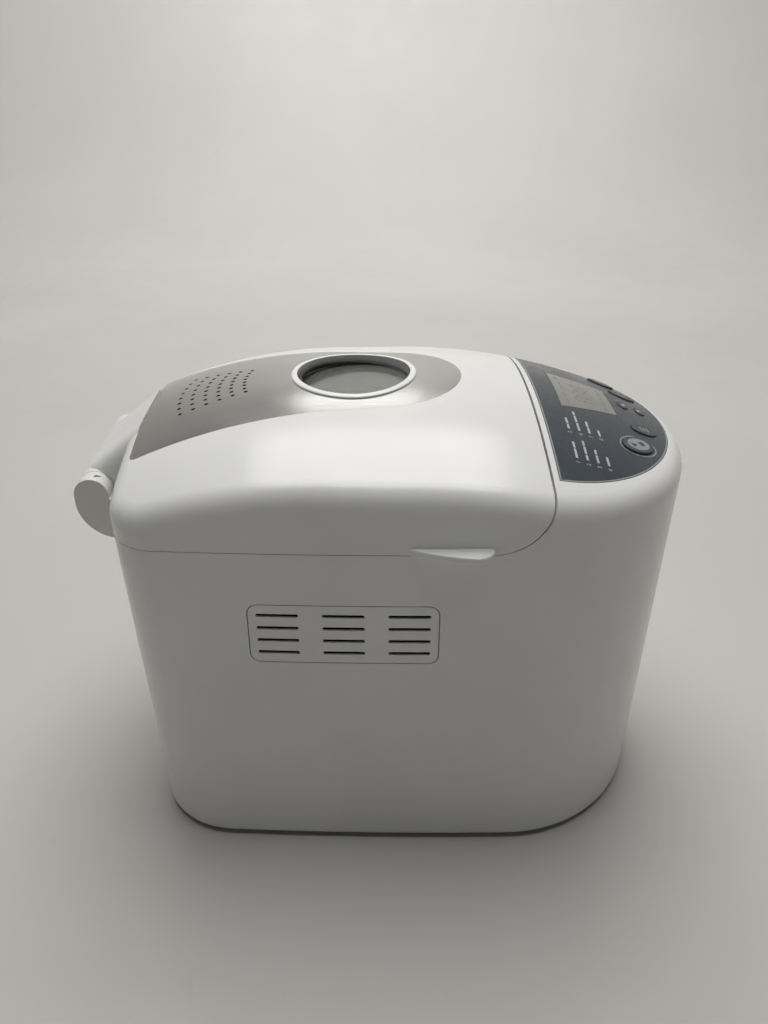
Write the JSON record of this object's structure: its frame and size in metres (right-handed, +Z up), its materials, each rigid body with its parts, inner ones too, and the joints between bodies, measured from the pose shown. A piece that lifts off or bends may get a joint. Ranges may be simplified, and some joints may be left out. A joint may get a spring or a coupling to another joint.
{
  "type": "bread machine",
  "caption": "Countertop bread machine with a domed hinged lid, round window, sloped front control panel and a belt-driven kneading pan.",
  "frame": {"origin": "on the table, under the middle of the bounding box", "axes": "+Z up, the control panel faces -Y, the lid hinge is at +Y, +X to the right seen from the front"},
  "size_m": [0.266, 0.3809, 0.2894],
  "materials": {
    "casing_white": "gloss white moulding",
    "lid_white": "gloss white moulding",
    "hinge_white": "slightly cream satin moulding",
    "grille_white": "gloss white moulding",
    "bezel_white": "gloss white ring",
    "panel_film": "dark blue-grey printed film",
    "key_dark": "dark key cap",
    "key_start": "light grey key cap",
    "inlay_steel": "brushed sheet",
    "window_glass": "tempered glass",
    "seal_rubber": "silicone",
    "foot_rubber": "rubber",
    "steel_sheet": "pressed sheet",
    "aluminium_sheet": "pressed sheet",
    "aluminium_cast": "casting",
    "pan_coating": "dark non-stick coating",
    "shaft_steel": "ground steel",
    "screw_steel": "zinc plated",
    "bush_bronze": "sintered bronze",
    "heater_sheath": "oxidised sheath",
    "pulley_plastic": "black moulding",
    "belt_rubber": "rubber belt",
    "motor_steel": "zinc coated can",
    "board_green": "circuit board",
    "component_black": "moulded parts",
    "capacitor_grey": "can",
    "lcd_grey": "display",
    "base_grey": "textured moulding"
  },
  "bodies": {
    "casing": {"outer_body": "casing_white", "vent_grille_left": "grille_white", "vent_grille_right": "grille_white", "control_panel": "panel_film", "base_plate": "base_grey", "feet": "foot_rubber", "base_screws": "screw_steel", "hinge_bracket": "hinge_white", "bracket_screws": "screw_steel", "hinge_pins": "shaft_steel", "chamber_liner": "aluminium_sheet", "chamber_trim": "steel_sheet", "chamber_legs": "steel_sheet", "heating_element": "heater_sheath", "element_clips": "steel_sheet", "pan_socket": "aluminium_cast", "bearing_bush": "bush_bronze", "drive_belt": "belt_rubber", "motor": "motor_steel", "motor_bracket": "steel_sheet", "motor_screws": "screw_steel", "run_capacitor": "capacitor_grey", "power_board": "board_green", "transformer": "component_black", "control_board": "board_green", "tact_switches": "component_black", "lcd_module": "lcd_grey", "temperature_sensor": "shaft_steel", "thermal_fuse": "component_black", "cord_gland": "seal_rubber"},
    "lid": {"lid_shell": "lid_white", "lid_inlay": "inlay_steel", "lid_liner": "aluminium_sheet", "lid_seal": "seal_rubber", "window_bezel": "bezel_white", "window_glass": "window_glass", "window_tube": "seal_rubber"},
    "drive": {"drive_shaft": "shaft_steel", "drive_dog": "aluminium_cast", "driven_pulley": "pulley_plastic"},
    "rotor": {"motor_shaft": "shaft_steel", "motor_pulley": "pulley_plastic"},
    "pan": {"bread_pan": "pan_coating", "pan_boss": "aluminium_cast"},
    "spindle": {"pan_shaft": "shaft_steel"},
    "paddle": {"kneading_paddle": "pan_coating"},
    "bail": {"bail_handle": "screw_steel"},
    "key_start_stop": {"button_start_stop": "key_start"},
    "key_menu": {"button_menu": "key_dark"},
    "key_time_up": {"button_time_up": "key_dark"},
    "key_time_down": {"button_time_down": "key_dark"},
    "key_loaf_size": {"button_loaf_size": "key_dark"},
    "key_crust": {"button_crust": "key_dark"}
  },
  "joints": [
    {"name": "lid_hinge", "type": "hinge", "parent": "casing", "child": "lid", "pos_m": [0, 0.18, 0.229], "axis": [-1, 0, 0], "range_deg": [0, 95]},
    {"name": "drive_spin", "type": "hinge", "parent": "casing", "child": "drive", "pos_m": [0, 0.0285, 0.04], "axis": [0, 0, 1], "continuous": true},
    {"name": "rotor_spin", "type": "hinge", "parent": "casing", "child": "rotor", "pos_m": [0, -0.1265, 0.04], "axis": [0, 0, 1], "continuous": true},
    {"name": "pan_lift", "type": "slide", "parent": "casing", "child": "pan", "axis": [0, 0, 1], "range_m": [0, 0.01]},
    {"name": "bail_swing", "type": "hinge", "parent": "pan", "child": "bail", "pos_m": [0, 0.0285, 0.196], "axis": [1, 0, 0], "range_deg": [0, 140]},
    {"name": "spindle_spin", "type": "hinge", "parent": "pan", "child": "spindle", "pos_m": [0, 0.0285, 0.09], "axis": [0, 0, 1], "continuous": true},
    {"name": "paddle_pull", "type": "slide", "parent": "spindle", "child": "paddle", "axis": [0, 0, 1], "range_m": [0, 0.045]},
    {"name": "press_start_stop", "type": "slide", "parent": "casing", "child": "key_start_stop", "axis": [0.1504, 0.3421, -0.9276], "range_m": [0, 0.0008], "stiffness_N_per_m": 400},
    {"name": "press_menu", "type": "slide", "parent": "casing", "child": "key_menu", "axis": [0.0805, 0.3714, -0.925], "range_m": [0, 0.0008], "stiffness_N_per_m": 400},
    {"name": "press_time_up", "type": "slide", "parent": "casing", "child": "key_time_up", "axis": [-0.0114, 0.3584, -0.9335], "range_m": [0, 0.0008], "stiffness_N_per_m": 400},
    {"name": "press_time_down", "type": "slide", "parent": "casing", "child": "key_time_down", "axis": [-0.0111, 0.3877, -0.9217], "range_m": [0, 0.0008], "stiffness_N_per_m": 400},
    {"name": "press_loaf_size", "type": "slide", "parent": "casing", "child": "key_loaf_size", "axis": [-0.0848, 0.3712, -0.9247], "range_m": [0, 0.0008], "stiffness_N_per_m": 400},
    {"name": "press_crust", "type": "slide", "parent": "casing", "child": "key_crust", "axis": [-0.1504, 0.3421, -0.9276], "range_m": [0, 0.0008], "stiffness_N_per_m": 400}
  ],
  "couplings": [
    {"joint": "rotor_spin", "follows": "drive_spin", "ratio": 4.6667},
    {"joint": "spindle_spin", "follows": "drive_spin", "ratio": 1}
  ]
}
